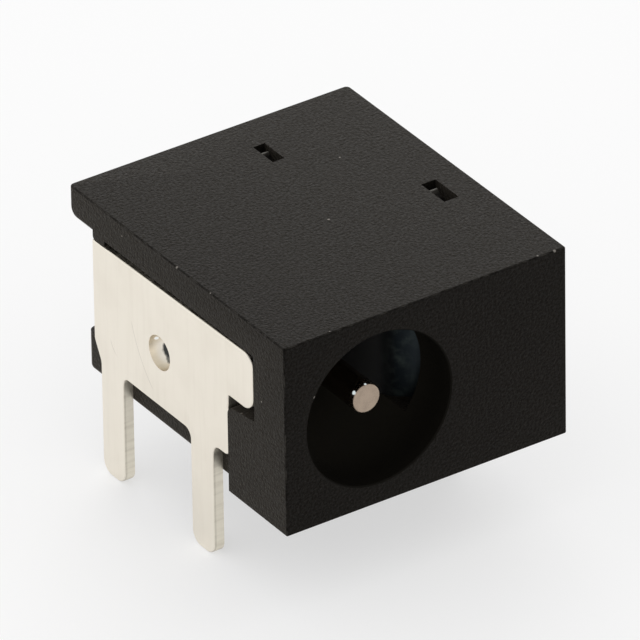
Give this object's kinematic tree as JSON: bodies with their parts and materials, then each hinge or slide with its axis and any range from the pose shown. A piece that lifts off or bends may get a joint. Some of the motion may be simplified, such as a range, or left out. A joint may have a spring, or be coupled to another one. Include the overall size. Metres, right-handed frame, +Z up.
{
  "type": "dc barrel jack",
  "caption": "Through-hole DC power jack: black moulded housing with a round plug opening, a centre pin and tin-plated sheet terminals with solder legs.",
  "frame": {"origin": "centre of the plug opening, on the front face", "axes": "+X to the right seen from the front, +Y from the front face to the back along the plug's axis, +Z up from the board to the roof"},
  "size_m": [0.0128, 0.0146, 0.0118],
  "materials": {
    "moulding": "fine matt black moulded plastic",
    "tinned_sheet": "bright tin plate on brass sheet, satin",
    "spring_sheet": "silver-white plate on bronze spring sheet",
    "nickel_pin": "nickel plate on turned brass, smooth"
  },
  "bodies": {
    "root": {"housing": "moulding", "side_terminal": "tinned_sheet", "pin_terminal": "tinned_sheet", "spring_terminal": "spring_sheet", "centre_pin": "nickel_pin"}
  },
  "joints": []
}
